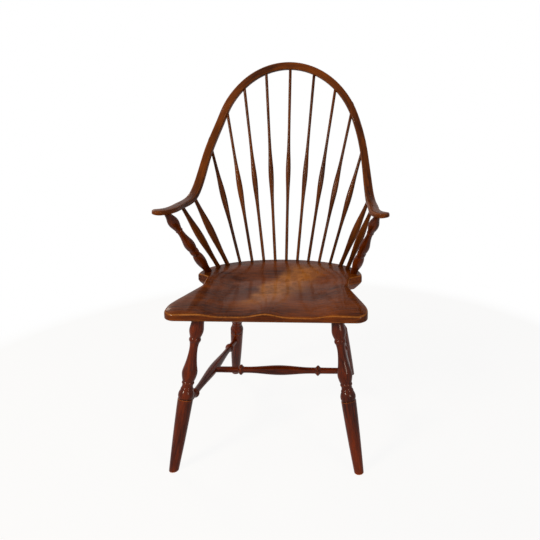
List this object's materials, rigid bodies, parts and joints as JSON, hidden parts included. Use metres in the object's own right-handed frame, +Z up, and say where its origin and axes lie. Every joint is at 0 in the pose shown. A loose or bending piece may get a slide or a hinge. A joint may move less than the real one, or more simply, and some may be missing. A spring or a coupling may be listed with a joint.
{
  "type": "windsor chair",
  "caption": "Continuous-arm windsor chair with a carved saddle seat, a bent bow that becomes both arms, slender back spindles, turned splayed legs and stretchers.",
  "frame": {"origin": "on the floor, in the middle of the chair's footprint box", "axes": "+X to the viewer's right when facing the chair, -Y towards the front of the seat, +Z up"},
  "size_m": [0.6228, 0.6166, 1.0385],
  "materials": {
    "seat_wood": "dark reddish brown stain under satin varnish",
    "bow_wood": "mid brown stain under satin varnish",
    "spindle_wood": "dark reddish brown stain under gloss varnish",
    "leg_wood": "red brown stain under gloss varnish",
    "wedge_wood": "dark stain under varnish"
  },
  "bodies": {
    "root": {"seat": "seat_wood", "bow": "bow_wood", "back_spindle_1": "spindle_wood", "back_spindle_2": "spindle_wood", "back_spindle_3": "spindle_wood", "back_spindle_4": "spindle_wood", "back_spindle_5": "spindle_wood", "back_spindle_6": "spindle_wood", "back_spindle_7": "spindle_wood", "back_spindle_8": "spindle_wood", "back_spindle_9": "spindle_wood", "arm_spindle_rear_left": "spindle_wood", "arm_spindle_rear_right": "spindle_wood", "arm_spindle_front_left": "spindle_wood", "arm_spindle_front_right": "spindle_wood", "arm_post_left": "spindle_wood", "arm_post_right": "spindle_wood", "front_leg_left": "leg_wood", "front_leg_right": "leg_wood", "rear_leg_left": "leg_wood", "rear_leg_right": "leg_wood", "side_stretcher_left": "leg_wood", "side_stretcher_right": "leg_wood", "centre_stretcher": "leg_wood", "bow_wedges": "wedge_wood", "arm_wedges": "wedge_wood"}
  },
  "joints": []
}
